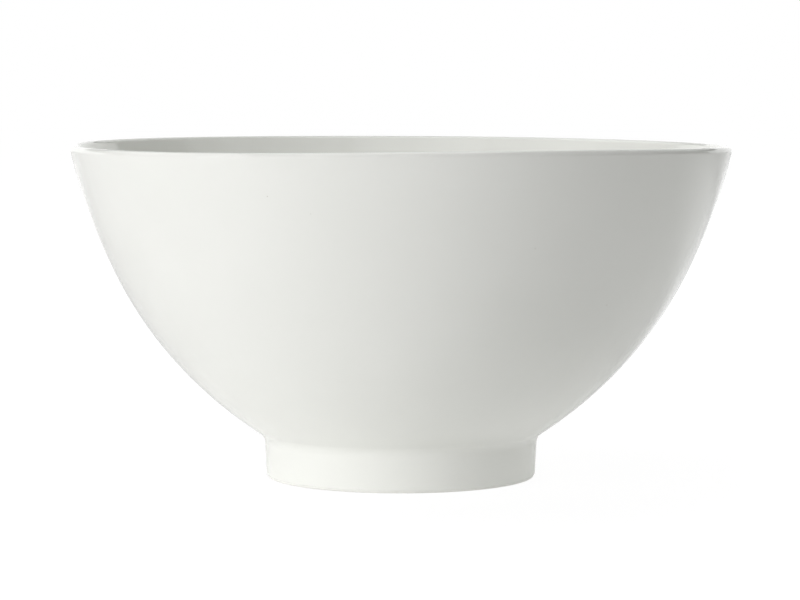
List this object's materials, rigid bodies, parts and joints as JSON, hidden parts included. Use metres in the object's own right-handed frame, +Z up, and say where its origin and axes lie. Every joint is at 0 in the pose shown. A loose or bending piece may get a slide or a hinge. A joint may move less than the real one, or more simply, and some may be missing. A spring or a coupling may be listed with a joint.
{
  "type": "serving bowl",
  "caption": "Deep round serving bowl in white glazed porcelain, with a rounded lip, a curved belly and a plain foot ring.",
  "frame": {"origin": "centre of the circle that the foot ring stands on, at table height", "axes": "+Z up along the bowl's axis; X and Y are free, because the bowl is round"},
  "size_m": [0.25, 0.25, 0.127],
  "materials": {
    "porcelain_body": "matte unglazed porcelain",
    "luting_slip": "matte fired slip",
    "white_glaze": "glossy white glaze"
  },
  "bodies": {
    "root": {"vessel": "porcelain_body", "foot_ring": "porcelain_body", "foot_slip": "luting_slip", "outside_glaze": "white_glaze", "inside_glaze": "white_glaze", "recess_glaze": "white_glaze"}
  },
  "joints": []
}
